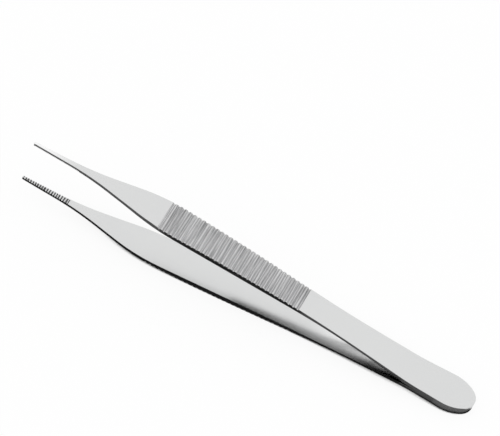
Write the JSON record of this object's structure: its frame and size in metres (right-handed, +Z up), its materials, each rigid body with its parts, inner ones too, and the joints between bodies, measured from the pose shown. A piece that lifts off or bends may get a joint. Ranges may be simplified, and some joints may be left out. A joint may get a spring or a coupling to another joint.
{
  "type": "thumb forceps",
  "caption": "Sprung steel thumb forceps with slender toothed jaws, cross-ribbed thumb grips and a welded oval butt, lying open as at rest.",
  "frame": {"origin": "middle of the base of the bounding box, on the surface that the forceps lie on", "axes": "+X from the jaws to the butt, +Y across the arms, +Z up from the lower arm to the upper arm"},
  "size_m": [0.1202, 0.0094, 0.0173],
  "materials": {
    "steel": "fine satin, bead-blasted and lightly brushed"
  },
  "bodies": {
    "root": {"lower_arm": "steel", "upper_arm": "steel"}
  },
  "joints": []
}
